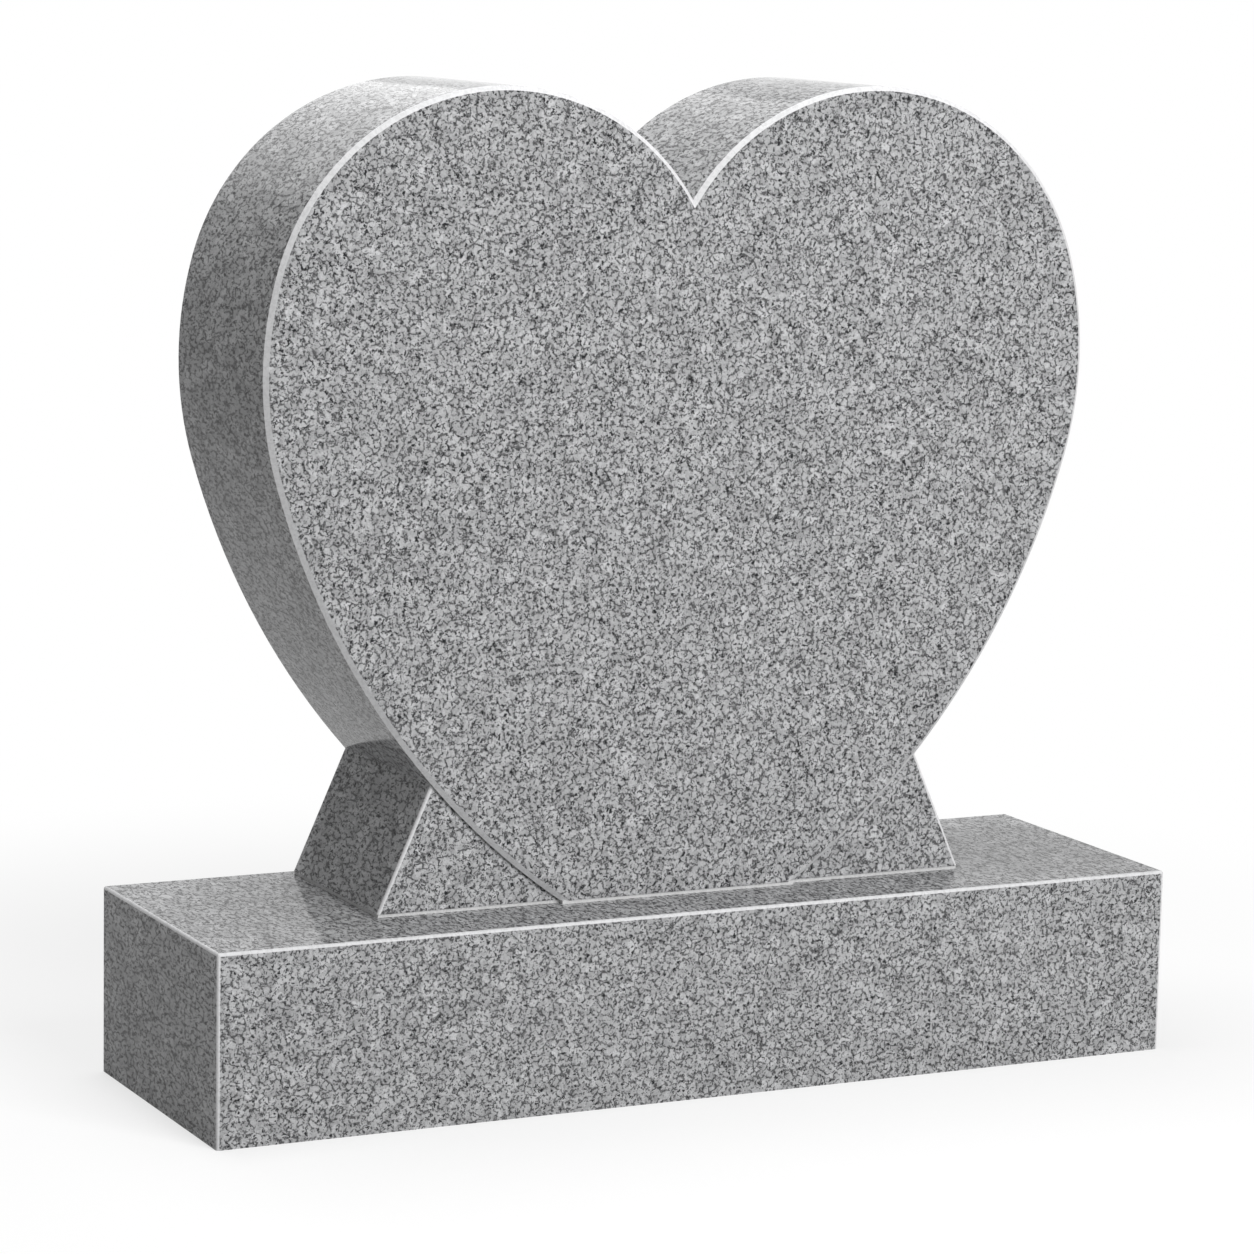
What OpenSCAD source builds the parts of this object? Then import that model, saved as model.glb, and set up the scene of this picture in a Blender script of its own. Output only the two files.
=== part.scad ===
// Heart-shaped headstone in polished grey granite: a heart tablet with a splayed foot, cut from
// one slab, bedded and dowelled on a plain rectangular base stone.
// Millimetres, +Z up, front towards -Y. The origin is on the ground, under the middle of the base.

/* [Base stone] */
// Height of the base stone
base_height = 166; // [100:1:260]
// Ledge on top of the base at each end of the foot
side_ledge = 173; // [60:1:300]
// Ledge on top of the base in front of the heart
front_ledge = 68; // [20:1:160]
// Ledge on top of the base behind the heart
back_ledge = 6; // [0:1:100]

/* [Heart] */
// Thickness of the heart, front face to back face
heart_thickness = 206; // [110:1:260]
// Radius of the round top of each lobe
lobe_radius = 211; // [180:1:255]
// Distance between the centres of the two lobes
lobe_spacing = 355; // [300:1:410]
// Height of the lobe centres above the bed of the tablet
lobe_height = 489; // [400:1:600]
// Radius of the shoulder, where the lobe turns into the side
shoulder_radius = 317; // [270:1:380]
// Radius of the long flank that runs down to the point
flank_radius = 686; // [580:1:820]

/* [Foot] */
// Length of the foot where it stands on the base
foot_length = 568; // [480:1:680]
// Lean of the foot's end faces from upright
foot_lean = 24; // [12:1:32]
// Height of the foot's core, up inside the heart
foot_height = 125; // [110:1:150]
// Step from the heart's faces back to the foot's faces
foot_step = 7; // [5:0.5:30]

/* [Edges] */
// Arris along the outline of the heart
heart_arris = 4; // [1:0.5:5]
// Arris along the ends of the foot
foot_arris = 2.5; // [1:0.5:4]
// Arris along the top and corner edges of the base
base_arris = 2.5; // [1:0.5:8]

/* [Joint] */
// Thickness of the bed of setting compound
joint_thickness = 3; // [2:0.5:10]
// Distance that the bed is raked back behind the faces of the tablet
joint_rake = 1; // [0:0.5:5]
// Diameter of the setting pads
pad_diameter = 30; // [15:1:50]
// Distance between the left and right pads
pad_spacing_x = 470; // [300:1:500]
// Distance between the front and back pads
pad_spacing_y = 120; // [50:1:140]
// Gap between a pad and the compound around it
pad_clearance = 0.3; // [0.1:0.1:0.5]

/* [Dowels] */
// Diameter of the stainless dowels
dowel_diameter = 16; // [8:1:24]
// Length of the dowels
dowel_length = 150; // [80:1:180]
// Distance between the two dowels
dowel_spacing = 300; // [150:1:380]
// Radial gap between a dowel and its socket
dowel_clearance = 0.5; // [0.1:0.1:0.8]
// Spare depth of the socket over a dowel's upper end
socket_spare = 0.5; // [0.1:0.1:0.8]

/* [Hidden] */
$fn = 96;
cut_over = 20;

base_length = foot_length + 2 * side_ledge;
base_depth = front_ledge + heart_thickness + back_ledge;
tablet_front = front_ledge - base_depth / 2;
tablet_middle = tablet_front + heart_thickness / 2;
bed_height = base_height + joint_thickness;

// Each half of the heart is three arcs, each one tangent to the next: lobe, shoulder and flank.
// They join on lines that rise and fall 7 in 24 from level, so the centres lie on those lines too.
rising = [0.96, 0.28];
falling = [0.96, -0.28];
lobe_centre = [lobe_spacing / 2, lobe_height];
shoulder_centre = lobe_centre - (shoulder_radius - lobe_radius) * rising;
flank_centre = shoulder_centre - (flank_radius - shoulder_radius) * falling;
toe_half = flank_centre.x + sqrt(pow(flank_radius, 2) - pow(flank_centre.y, 2));

foot_thickness = heart_thickness - 2 * foot_step;
foot_top_half = foot_length / 2 - foot_height * tan(foot_lean);
dowel_embed = dowel_length / 2;
pad_x = pad_spacing_x / 2;
pad_y = pad_spacing_y / 2;

// A square bar on edge: it takes an arris of the given width off a square corner along Z.
module arris_bar(arris, length) {
    rotate([0, 0, 45])
        cube([arris * sqrt(2), arris * sqrt(2), length], center = true);
}

// A round slab as thick as the heart, with an arris on both of its edges.
module slab(centre, radius) {
    inner = radius - heart_arris;
    translate([centre.x, centre.y, 0])
        rotate_extrude()
            polygon([[0, 0], [inner, 0], [radius, heart_arris],
                     [radius, heart_thickness - heart_arris], [inner, heart_thickness],
                     [0, heart_thickness]]);
}

// The stretch of a round slab that lies within an outline.
module slab_within(centre, radius, outline) {
    intersection() {
        slab(centre, radius);
        translate([0, 0, -cut_over])
            linear_extrude(heart_thickness + 2 * cut_over)
                polygon(outline);
    }
}

// Right half of the heart lying on its back: outline in X and Y, thickness in Z.
module half_heart() {
    reach = 2 * shoulder_radius;
    waist = [0, shoulder_centre.y];
    up = shoulder_centre + reach * rising;
    down = shoulder_centre + reach * falling;
    slab_within(lobe_centre, lobe_radius,
                [waist, shoulder_centre, up, [up.x, 2 * reach], [0, 2 * reach]]);
    slab_within(shoulder_centre, shoulder_radius, [shoulder_centre, down, up]);
    slab_within(flank_centre, flank_radius, [waist, [0, 0], [down.x, 0], down, shoulder_centre]);
}

// Splayed foot lying on its back, with an arris on its four leaning edges.
module foot() {
    half = foot_length / 2;
    difference() {
        translate([0, 0, foot_step])
            linear_extrude(foot_thickness)
                polygon([[-half, 0], [half, 0], [foot_top_half, foot_height],
                         [-foot_top_half, foot_height]]);
        for (side = [-1, 1], face = [foot_step, heart_thickness - foot_step])
            translate([side * half, 0, face])
                rotate([-90, 0, side * foot_lean])
                    arris_bar(foot_arris, 3 * foot_height);
    }
}

module tablet() {
    color("darkgray")
        difference() {
            translate([0, tablet_front + heart_thickness, bed_height])
                rotate([90, 0, 0]) {
                    half_heart();
                    mirror([1, 0, 0])
                        half_heart();
                    foot();
                }
            for (side = [-1, 1])
                translate([side * dowel_spacing / 2, tablet_middle, bed_height - cut_over])
                    cylinder(r = dowel_diameter / 2 + dowel_clearance,
                             h = cut_over + dowel_embed - joint_thickness + socket_spare);
        }
}

module base() {
    half_length = base_length / 2;
    half_depth = base_depth / 2;
    color("gray")
        difference() {
            translate([-half_length, -half_depth, 0])
                cube([base_length, base_depth, base_height]);
            for (x = [-half_length, half_length], y = [-half_depth, half_depth])
                translate([x, y, base_height / 2])
                    arris_bar(base_arris, base_height + cut_over);
            for (x = [-half_length, half_length])
                translate([x, 0, base_height])
                    rotate([90, 0, 0])
                        arris_bar(base_arris, base_depth + cut_over);
            for (y = [-half_depth, half_depth])
                translate([0, y, base_height])
                    rotate([0, 90, 0])
                        arris_bar(base_arris, base_length + cut_over);
            for (side = [-1, 1])
                translate([side * dowel_spacing / 2, tablet_middle, base_height - dowel_embed])
                    cylinder(r = dowel_diameter / 2 + dowel_clearance,
                             h = dowel_embed + cut_over);
        }
}

// Setting compound under the whole tablet, with room for the pads and the dowels.
module joint_bed() {
    foot_half = foot_length / 2 - joint_rake;
    heart_half = toe_half - joint_rake;
    foot_deep = foot_thickness / 2 - joint_rake;
    heart_deep = heart_thickness / 2 - joint_rake;
    color("gainsboro")
        translate([0, tablet_middle, base_height])
            linear_extrude(joint_thickness)
                difference() {
                    union() {
                        square([2 * foot_half, 2 * foot_deep], center = true);
                        square([2 * heart_half, 2 * heart_deep], center = true);
                    }
                    for (x = [-pad_x, pad_x], y = [-pad_y, pad_y])
                        translate([x, y])
                            circle(pad_diameter / 2 + pad_clearance);
                    for (side = [-1, 1])
                        translate([side * dowel_spacing / 2, 0])
                            circle(dowel_diameter / 2 + dowel_clearance);
                }
}

module dowel(side) {
    color("silver")
        translate([side * dowel_spacing / 2, tablet_middle, base_height - dowel_embed])
            cylinder(d = dowel_diameter, h = dowel_length);
}

module pad(side, end) {
    color("dimgray")
        translate([side * pad_x, tablet_middle + end * pad_y, base_height])
            cylinder(d = pad_diameter, h = joint_thickness);
}

base();
tablet();
joint_bed();
dowel(-1);  // dowel_left
dowel(1);  // dowel_right
pad(-1, -1);  // pad_front_left
pad(1, -1);  // pad_front_right
pad(-1, 1);  // pad_back_left
pad(1, 1);  // pad_back_right
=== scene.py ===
import math

import bpy
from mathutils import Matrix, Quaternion, Vector


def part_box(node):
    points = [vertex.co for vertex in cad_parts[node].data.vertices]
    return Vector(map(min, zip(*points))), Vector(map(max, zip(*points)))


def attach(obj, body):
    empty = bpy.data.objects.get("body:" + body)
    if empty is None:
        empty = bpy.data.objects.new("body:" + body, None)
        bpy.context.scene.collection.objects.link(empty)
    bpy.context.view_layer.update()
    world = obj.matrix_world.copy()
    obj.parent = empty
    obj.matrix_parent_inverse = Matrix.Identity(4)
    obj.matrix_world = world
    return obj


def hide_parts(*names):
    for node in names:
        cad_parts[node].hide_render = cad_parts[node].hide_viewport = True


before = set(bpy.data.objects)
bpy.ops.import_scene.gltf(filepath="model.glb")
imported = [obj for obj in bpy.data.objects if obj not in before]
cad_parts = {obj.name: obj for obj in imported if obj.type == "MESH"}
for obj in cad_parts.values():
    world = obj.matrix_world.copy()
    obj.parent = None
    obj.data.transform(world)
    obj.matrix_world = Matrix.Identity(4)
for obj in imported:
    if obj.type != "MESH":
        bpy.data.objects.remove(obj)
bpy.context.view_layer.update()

# ---- Camera ----
# A camera on a tripod at the height of the heart, a little to the left of the stone, with a long
# lens so that the upright edges stay nearly parallel.
view_azimuth = math.radians(-26.2)
view_elevation = math.radians(8.95)
view_roll = math.radians(1.14)
view_distance = 3.924
aim_point = Vector((-0.0214, 0.0, 0.3932))
toward_camera = Vector((
    math.sin(view_azimuth) * math.cos(view_elevation),
    -math.cos(view_azimuth) * math.cos(view_elevation),
    math.sin(view_elevation),
))
camera_data = bpy.data.cameras.new("camera")
camera_data.lens = 128.1
camera_data.sensor_width = 36.0
camera = bpy.data.objects.new("camera", camera_data)
camera.location = aim_point + view_distance * toward_camera
camera.rotation_mode = "QUATERNION"
level_turn = toward_camera.to_track_quat("Z", "Y")
camera.rotation_quaternion = level_turn @ Quaternion((0, 0, 1), view_roll)
bpy.context.collection.objects.link(camera)
bpy.context.scene.camera = camera

# ---- Base stone ----
# One block of grey granite, sawn to size, polished on its top and sides and left sawn underneath.
# The mason takes the sharp top and corner edges off with a small rounded arris.
base_low, base_high = (Vector(corner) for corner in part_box("base"))
base_arris = 0.0025


def only_selected(piece):
    """Leaves edit mode, deselects everything and makes one piece the active one."""
    if bpy.context.mode != "OBJECT":
        bpy.ops.object.mode_set(mode="OBJECT")
    bpy.ops.object.select_all(action="DESELECT")
    piece.select_set(True)
    bpy.context.view_layer.objects.active = piece


def pick(piece, mode, test):
    """Selects the vertices, edges or faces of a piece that pass a test, and leaves edit mode on."""
    only_selected(piece)
    bpy.ops.object.mode_set(mode="EDIT")
    bpy.ops.mesh.select_mode(type=mode)
    bpy.ops.mesh.select_all(action="DESELECT")
    bpy.ops.object.mode_set(mode="OBJECT")
    mesh = piece.data
    if mode == "VERT":
        for vertex in mesh.vertices:
            vertex.select = test(vertex.co)
    elif mode == "EDGE":
        for edge in mesh.edges:
            edge.select = test(*(mesh.vertices[i].co for i in edge.vertices))
    else:
        for face in mesh.polygons:
            face.select = test(face)
    bpy.ops.object.mode_set(mode="EDIT")


def done(piece):
    """Leaves edit mode and puts the piece's place into its mesh."""
    only_selected(piece)
    bpy.ops.object.transform_apply(location=True, rotation=True, scale=True)


def block(name, low, high):
    """A rectangular block between two corners, ready to be shaped."""
    bpy.ops.object.select_all(action="DESELECT")
    bpy.ops.mesh.primitive_cube_add(size=1.0, location=(low + high) / 2)
    piece = bpy.context.object
    piece.name = name
    piece.data.name = name
    piece.scale = high - low
    bpy.ops.object.transform_apply(location=True, rotation=True, scale=True)
    return piece


def near(a, b):
    return abs(a - b) < 1e-5


base = block("base_stone", base_low, base_high)
pick(base, "EDGE", lambda a, b: a.z > base_low.z or b.z > base_low.z)
bpy.ops.mesh.bevel(offset=base_arris, segments=3, profile=0.5)
done(base)


def mark_arris(piece, test):
    """Stores 1 on the faces of the arrises and 0 on the polished faces."""
    marks = piece.data.attributes.new("arris", "FLOAT", "FACE")
    for face in piece.data.polygons:
        marks.data[face.index].value = 1.0 if test(face) else 0.0


mark_arris(base, lambda face: max(abs(c) for c in face.normal) < 0.99)


class Shader:
    """Adds nodes to one material, a line at a time."""

    def __init__(self, name):
        self.material = bpy.data.materials.new(name)
        self.material.use_nodes = True
        self.nodes = self.material.node_tree.nodes
        self.links = self.material.node_tree.links
        self.surface = self.nodes["Principled BSDF"]

    def node(self, kind, inputs=(), **settings):
        made = self.nodes.new(kind)
        for key, value in settings.items():
            setattr(made, key, value)
        for key, value in dict(inputs).items():
            if hasattr(value, "is_linked"):
                self.links.new(value, made.inputs[key])
            else:
                made.inputs[key].default_value = value
        return made

    def maths(self, operation, a, b=0.0, c=0.0):
        return self.node("ShaderNodeMath", {0: a, 1: b, 2: c}, operation=operation).outputs[0]

    def ramp(self, factor, stops):
        """A grey ramp: stops are (position, grey)."""
        made = self.node("ShaderNodeValToRGB", {"Fac": factor})
        ramp = made.color_ramp
        while len(ramp.elements) < len(stops):
            ramp.elements.new(0.5)
        for element, (position, grey) in zip(ramp.elements, stops):
            element.position = position
            element.color = (grey, grey, grey, 1)
        return made.outputs["Color"]

    def mix(self, factor, a, b, blend="MIX"):
        made = self.node("ShaderNodeMix", data_type="RGBA", blend_type=blend)
        for key, value in ((0, factor), (6, a), (7, b)):
            if hasattr(value, "is_linked"):
                self.links.new(value, made.inputs[key])
            else:
                made.inputs[key].default_value = value
        return made.outputs[2]


mm_per_metre = 1000
depth_stretch = 0.48
large_grain_mm = 9.0
small_grain_mm = 4.2
curl_mm = 7.0
film_cells_per_mm = 0.16
mica = (0.022, 0.022, 0.024, 1)
faint_blue = (0.98, 0.985, 1.0, 1)
# Pale grey for the arrises: partly rubbed stone, partly a painted highlight along the edges.
rubbed_and_highlight_stone = (0.84, 0.84, 0.85, 1)
polish = 0.07


def polished_granite(name, seed):
    """Fine grey granite: pale feldspar grains, grey quartz and curled black flecks, polished.

    The grains run about twice as long from front to back as they are wide.
    """
    granite = Shader(name)
    place = granite.node("ShaderNodeTexCoord").outputs["Object"]
    in_mm = granite.node(
        "ShaderNodeMapping", {"Vector": place, "Location": (seed, 2 * seed, -seed)}
    )
    in_mm.inputs["Scale"].default_value = (
        mm_per_metre, depth_stretch * mm_per_metre, mm_per_metre
    )
    mm = in_mm.outputs["Vector"]

    def noise(scale, detail=2.0, rough=0.5, vector=mm, output="Fac"):
        return granite.node(
            "ShaderNodeTexNoise",
            {"Vector": vector, "Scale": scale, "Detail": detail, "Roughness": rough},
        ).outputs[output]

    warp = granite.node(
        "ShaderNodeVectorMath",
        {0: noise(0.22, 3.0, 0.6, output="Color"), 1: (0.5, 0.5, 0.5)},
        operation="SUBTRACT",
    ).outputs[0]
    push = granite.node(
        "ShaderNodeVectorMath", {0: warp, "Scale": curl_mm}, operation="SCALE"
    ).outputs[0]
    curled = granite.node("ShaderNodeVectorMath", {0: mm, 1: push}, operation="ADD").outputs[0]

    # Feldspar and quartz: each grain has a tone of its own.
    def grains(size):
        """A random number from 0 to 1 for each grain of about this size in millimetres."""
        cells = granite.node("ShaderNodeTexVoronoi", {"Vector": curled, "Scale": 1 / size})
        split = granite.node("ShaderNodeSeparateColor", {"Color": cells.outputs["Color"]})
        return split.outputs["Red"]

    large_tone = granite.ramp(grains(large_grain_mm), [(0.0, 0.41), (0.3, 0.47), (0.8, 0.53), (1.0, 0.60)])
    small_tone = granite.ramp(grains(small_grain_mm), [(0.0, 0.80), (0.3, 0.97), (1.0, 1.06)])
    stone = granite.mix(1.0, large_tone, small_tone, "MULTIPLY")
    dust = granite.ramp(noise(0.8, 2.0, 0.6), [(0.3, 0.82), (0.7, 1.12)])
    stone = granite.mix(1.0, stone, dust, "MULTIPLY")
    stone = granite.mix(1.0, stone, faint_blue, "MULTIPLY")

    # Black mica: thin curled films between the grains, and short thick flecks.
    films = granite.node(
        "ShaderNodeTexVoronoi",
        {"Vector": curled, "Scale": film_cells_per_mm},
        feature="DISTANCE_TO_EDGE",
    ).outputs["Distance"]
    where = granite.ramp(noise(0.30, 2.0, 0.6), [(0.44, 0.0), (0.52, 1.0)])
    film = granite.maths(
        "MULTIPLY", granite.ramp(films, [(0.0, 0.9), (0.06, 0.72), (0.18, 0.0)]), where
    )
    flecks = granite.ramp(noise(0.36, 2.0, 0.5, curled), [(0.365, 1.0), (0.41, 0.0)])
    dark = granite.maths("MAXIMUM", film, flecks)
    dark = granite.maths("MULTIPLY", dark, 0.98)
    stone = granite.mix(dark, stone, mica)

    # The arrises are rubbed, not polished, with the flecks half lost. Their pale colour is partly real
    # rubbed stone and partly a painted highlight along the edges.
    arris = granite.node("ShaderNodeAttribute", attribute_name="arris").outputs["Fac"]
    rubbed_and_highlight_share = granite.maths("MULTIPLY", arris, 0.78)
    stone = granite.mix(rubbed_and_highlight_share, stone, rubbed_and_highlight_stone)

    surface = granite.surface
    granite.links.new(stone, surface.inputs["Base Color"])
    rough = granite.maths("MULTIPLY_ADD", arris, 0.25, polish)
    granite.links.new(rough, surface.inputs["Roughness"])
    surface.inputs["IOR"].default_value = 1.14
    return granite.material


sawn_area = 0.01


def shade(piece, degrees):
    """Smooths the rounded arrises and the curved sides, and keeps the large sawn faces flat."""
    only_selected(piece)
    bpy.ops.object.shade_smooth_by_angle(angle=math.radians(degrees))
    for face in piece.data.polygons:
        if face.area > sawn_area:
            face.use_smooth = False


base.data.materials.append(polished_granite("base_granite", 310.0))
shade(base, 35)
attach(base, "root")
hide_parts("base")

# ---- Joint ----
# A thin bed of pale setting compound, pressed out flat under the tablet and raked back a little.
# Four hard pads and two stainless dowels are sealed inside it.
compound = Shader("setting_compound")
spot = compound.node("ShaderNodeTexCoord").outputs["Object"]
grit = compound.node(
    "ShaderNodeTexNoise", {"Vector": spot, "Scale": 900.0, "Detail": 3.0}
).outputs["Fac"]
compound.links.new(
    compound.ramp(grit, [(0.3, 0.55), (0.7, 0.72)]), compound.surface.inputs["Base Color"]
)
compound.surface.inputs["Roughness"].default_value = 0.7

steel = Shader("dowel_steel")
bar = steel.node("ShaderNodeTexCoord").outputs["Object"]
drawn = steel.node("ShaderNodeMapping", {"Vector": bar, "Scale": (2500, 2500, 60)})
lines = steel.node(
    "ShaderNodeTexNoise", {"Vector": drawn.outputs["Vector"], "Scale": 1.0}
).outputs["Fac"]
steel.links.new(steel.ramp(lines, [(0.3, 0.50), (0.7, 0.66)]), steel.surface.inputs["Base Color"])
steel.links.new(steel.ramp(lines, [(0.3, 0.24), (0.7, 0.40)]), steel.surface.inputs["Roughness"])
steel.surface.inputs["Metallic"].default_value = 1.0

hard_rubber = Shader("setting_pad")
skin = hard_rubber.node("ShaderNodeTexCoord").outputs["Object"]
mottle = hard_rubber.node(
    "ShaderNodeTexNoise", {"Vector": skin, "Scale": 1200.0, "Detail": 2.0}
).outputs["Fac"]
hard_rubber.links.new(
    hard_rubber.ramp(mottle, [(0.3, 0.05), (0.7, 0.09)]),
    hard_rubber.surface.inputs["Base Color"],
)
hard_rubber.surface.inputs["Roughness"].default_value = 0.6

for node_name, node_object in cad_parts.items():
    kind = node_name.split("_")[0]
    finish = {"joint": compound, "dowel": steel, "pad": hard_rubber}.get(kind)
    if finish:
        node_object.data.materials.clear()
        node_object.data.materials.append(finish.material)

# ---- Heart tablet ----
# One slab of the same granite, sawn to a heart that runs down into a splayed foot, and polished
# all over. The foot's faces are cut back a little, and every edge has an arris.
slab_low, slab_high = (Vector(corner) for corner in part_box("tablet"))
bed = slab_low.z
lobe_radius = 0.211
shoulder_radius = 0.317
flank_radius = 0.686
heart_arris = 0.004
rise = Vector((0.96, 0, 0.28))
fall = Vector((0.96, 0, -0.28))
lobe_centre = Vector((0.1775, 0, slab_high.z - lobe_radius))
shoulder_centre = lobe_centre - (shoulder_radius - lobe_radius) * rise
flank_centre = shoulder_centre - (flank_radius - shoulder_radius) * fall
join_angle = math.asin(rise.z)
cusp_angle = math.pi - math.acos(lobe_centre.x / lobe_radius)
toe_angle = math.asin((flank_centre.z - bed) / flank_radius)
cusp_z = lobe_centre.z + lobe_radius * math.sin(cusp_angle)

bpy.ops.object.select_all(action="DESELECT")
thickness = slab_high.y - slab_low.y
middle = (slab_high.y + slab_low.y) / 2
bpy.ops.mesh.primitive_plane_add(size=thickness, location=(thickness / 2, middle, cusp_z))
tablet = bpy.context.object
tablet.name = "heart_tablet"
tablet.data.name = "heart_tablet"
bpy.ops.object.transform_apply(location=True, rotation=True, scale=True)
pick(tablet, "VERT", lambda co: co.x > thickness / 2)
bpy.ops.mesh.delete(type="VERT")
bpy.ops.mesh.select_all(action="SELECT")
for centre, angle, steps in (
    (lobe_centre, cusp_angle - join_angle, 56),
    (shoulder_centre, 2 * join_angle, 16),
    (flank_centre, toe_angle - join_angle, 26),
):
    bpy.ops.mesh.spin(steps=steps, angle=-angle, center=centre, axis=(0, 1, 0))
toe_x = flank_centre.x + flank_radius * math.cos(toe_angle)
bpy.ops.mesh.extrude_region_move(TRANSFORM_OT_translate={"value": (-toe_x, 0, 0)})
bpy.ops.object.mode_set(mode="OBJECT")
halves = tablet.modifiers.new("halves", "MIRROR")
halves.use_clip = True
halves.merge_threshold = 1e-5
bpy.ops.object.modifier_apply(modifier=halves.name)
for face_y in (slab_low.y, slab_high.y):
    pick(tablet, "EDGE", lambda a, b: near(a.y, face_y) and near(b.y, face_y))
    bpy.ops.mesh.edge_face_add()
bpy.ops.mesh.select_all(action="SELECT")
bpy.ops.mesh.remove_doubles(threshold=1e-5)
bpy.ops.mesh.normals_make_consistent(inside=False)
bpy.ops.object.mode_set(mode="OBJECT")


def on_outline(a, b):
    return near(a.y, b.y) and (a.z > bed + 1e-5 or b.z > bed + 1e-5)


pick(tablet, "EDGE", on_outline)
bpy.ops.mesh.bevel(offset=heart_arris, segments=1)
bpy.ops.object.mode_set(mode="OBJECT")

foot_length = 0.568
foot_height = 0.125
foot_lean = math.radians(24)
foot_step = 0.007
foot_arris = 0.0025
foot_low = Vector((-foot_length / 2, slab_low.y + foot_step, bed))
foot_high = Vector((foot_length / 2, slab_high.y - foot_step, bed + foot_height))
foot = block("foot", foot_low, foot_high)
pick(foot, "VERT", lambda co: co.z > bed + foot_height / 2)
top_share = 1 - foot_height * math.tan(foot_lean) / (foot_length / 2)
bpy.ops.transform.resize(value=(top_share, 1, 1), center_override=(0, middle, foot_high.z))
pick(foot, "EDGE", lambda a, b: not near(a.z, b.z))
bpy.ops.mesh.bevel(offset=foot_arris, segments=3, profile=0.5)
done(foot)
only_selected(tablet)
joined = tablet.modifiers.new("joined", "BOOLEAN")
joined.operation = "UNION"
joined.solver = "EXACT"
joined.object = foot
bpy.ops.object.modifier_apply(modifier=joined.name)
bpy.data.objects.remove(foot)

mark_arris(tablet, lambda face: 0.2 < abs(face.normal.y) < 0.98)
tablet.data.materials.clear()
tablet.data.materials.append(polished_granite("tablet_granite", 57.0))
shade(tablet, 20)
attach(tablet, "root")
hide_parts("tablet")

# ---- Floor ----
# A wide white sheet that the stone stands on. It shows to the camera as white, and keeps the
# soft shadow where the base meets it.
bpy.ops.object.select_all(action="DESELECT")
floor_width = 60.0
floor_grey = (0.36, 0.36, 0.36, 1)
floor_lift = 0.65
shadow_reach = 0.6
white_from = 1.3
bpy.ops.mesh.primitive_plane_add(size=floor_width, location=(0, 0, 0))
floor = bpy.context.object
floor.name = "floor"
sheet = Shader("floor_sheet")
sheet.surface.inputs["Base Color"].default_value = floor_grey
sheet.surface.inputs["Roughness"].default_value = 1.0
sheet.surface.inputs["Specular IOR Level"].default_value = 0.0
sheet.surface.inputs["Emission Color"].default_value = (1, 1, 1, 1)
ray = sheet.node("ShaderNodeLightPath")
seen = sheet.maths("MAXIMUM", ray.outputs["Is Camera Ray"], ray.outputs["Is Glossy Ray"])
lift = sheet.maths("MULTIPLY", seen, floor_lift)
sheet.links.new(lift, sheet.surface.inputs["Emission Strength"])
from_stone = sheet.node(
    "ShaderNodeVectorMath",
    {0: sheet.node("ShaderNodeTexCoord").outputs["Object"]},
    operation="LENGTH",
).outputs["Value"]
far = sheet.node(
    "ShaderNodeMapRange",
    {"Value": from_stone, "From Min": shadow_reach, "From Max": white_from},
    interpolation_type="SMOOTHSTEP",
).outputs["Result"]
white = sheet.node("ShaderNodeEmission", {"Color": (1, 1, 1, 1), "Strength": 1.0})
blend = sheet.node(
    "ShaderNodeMixShader",
    {0: sheet.maths("MULTIPLY", far, seen), 1: sheet.surface.outputs[0], 2: white.outputs[0]},
)
sheet.links.new(blend.outputs[0], sheet.nodes["Material Output"].inputs["Surface"])
floor.data.materials.append(sheet.material)

# ---- Light ----
# A large softbox high in front, one overhead, a weak one behind whose soft reflection runs over the
# tops of the lobes, and a pale room.


lit_point = Vector((0, 0, 0.4))
room_light = 0.27


def softbox(name, place, size, watts):
    """A rectangular lamp that faces the middle of the stone."""
    lamp = bpy.data.lights.new(name, "AREA")
    lamp.shape = "RECTANGLE"
    lamp.size, lamp.size_y = size
    lamp.energy = watts
    box = bpy.data.objects.new(name, lamp)
    box.location = place
    box.rotation_mode = "QUATERNION"
    box.rotation_quaternion = (Vector(place) - lit_point).to_track_quat("Z", "Y")
    bpy.context.collection.objects.link(box)


softbox("key_softbox", (0.8, -3.9, 2.4), (2.4, 2.4), 167)
softbox("top_softbox", (-0.3, 0.4, 2.9), (1.0, 0.8), 28)
softbox("back_softbox", (0.1, 3.4, 2.35), (2.4, 1.7), 11)
world = bpy.data.worlds.new("room")
bpy.context.scene.world = world
world.use_nodes = True
room = world.node_tree
path = room.nodes.new("ShaderNodeLightPath")
shown = room.nodes.new("ShaderNodeMath")
shown.operation = "MAXIMUM"
room.links.new(path.outputs["Is Camera Ray"], shown.inputs[0])
room.links.new(path.outputs["Is Glossy Ray"], shown.inputs[1])
level = room.nodes.new("ShaderNodeMapRange")
level.inputs["To Min"].default_value = room_light
level.inputs["To Max"].default_value = 1.0
room.links.new(shown.outputs[0], level.inputs["Value"])
room.links.new(level.outputs[0], room.nodes["Background"].inputs["Strength"])
room.nodes["Background"].inputs["Color"].default_value = (1, 1, 1, 1)

bpy.context.scene.view_settings.view_transform = "Standard"
